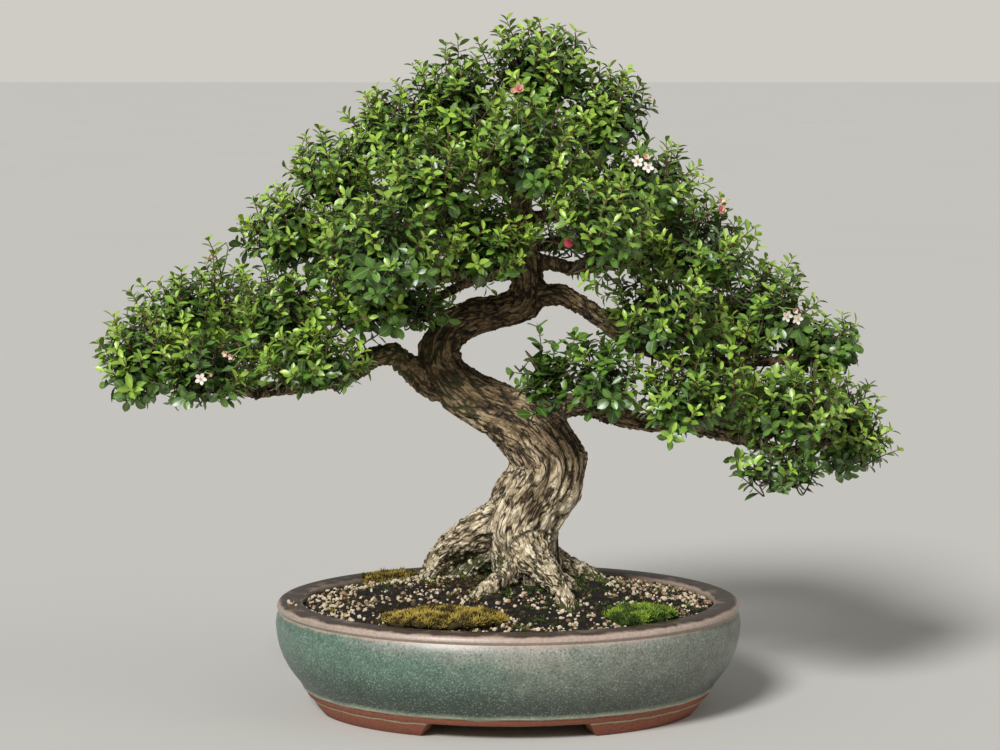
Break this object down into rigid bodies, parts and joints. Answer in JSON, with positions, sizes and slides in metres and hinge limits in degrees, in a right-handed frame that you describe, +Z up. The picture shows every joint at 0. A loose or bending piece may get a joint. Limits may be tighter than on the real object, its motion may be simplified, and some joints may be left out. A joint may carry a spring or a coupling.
{
  "type": "bonsai tree",
  "caption": "Small-leaved flowering bonsai with a winding trunk and a wide layered crown, growing in an oval glazed pot on low feet.",
  "frame": {"origin": "bottom centre: on the surface that the pot's feet stand on, under the middle of the pot", "axes": "+X along the pot's length to the viewer's right, +Y away from the viewer who faces the tree's front, +Z up"},
  "size_m": [0.5891, 0.265, 0.5112],
  "materials": {
    "glaze": "satin",
    "soil": "matte",
    "bark": "matte",
    "leaf": "satin",
    "petal": "matte",
    "berry": "gloss",
    "moss": "matte",
    "mesh": "matte"
  },
  "bodies": {
    "root": {"pot": "glaze", "soil": "soil", "trunk_and_limbs": "bark", "drain_mesh_left": "mesh", "drain_mesh_right": "mesh", "moss_cushion_left": "moss", "moss_cushion_right": "moss", "moss_cushion_back": "moss", "spray_left_tip": "leaf", "spray_left_upper": "leaf", "spray_left_front": "leaf", "spray_left_mid": "leaf", "spray_left_inner": "leaf", "spray_left_back": "leaf", "spray_upper_left": "leaf", "spray_upper_left_high": "leaf", "spray_left_crown": "leaf", "spray_left_face": "leaf", "spray_left_face_high": "leaf", "spray_left_under": "leaf", "spray_left_back_high": "leaf", "spray_centre": "leaf", "spray_apex": "leaf", "spray_apex_left": "leaf", "spray_apex_right": "leaf", "spray_apex_front": "leaf", "spray_apex_back": "leaf", "spray_upper_right_high": "leaf", "spray_upper_right": "leaf", "spray_right_face": "leaf", "spray_right_back_high": "leaf", "spray_right_mid": "leaf", "spray_right_far": "leaf", "spray_right_far_tip": "leaf", "spray_right_back": "leaf", "spray_low_far_tip": "leaf", "spray_low_right": "leaf", "spray_low_mid": "leaf", "spray_low_inner": "leaf", "spray_low_drop": "leaf", "spray_low_back": "leaf", "bloom_left": "petal", "bloom_left_inner": "petal", "bloom_left_sprout": "petal", "bloom_apex": "petal", "bloom_apex_right": "petal", "bloom_upper_right": "petal", "bloom_right_edge": "petal", "bloom_far_right": "petal", "berry": "berry"}
  },
  "joints": []
}
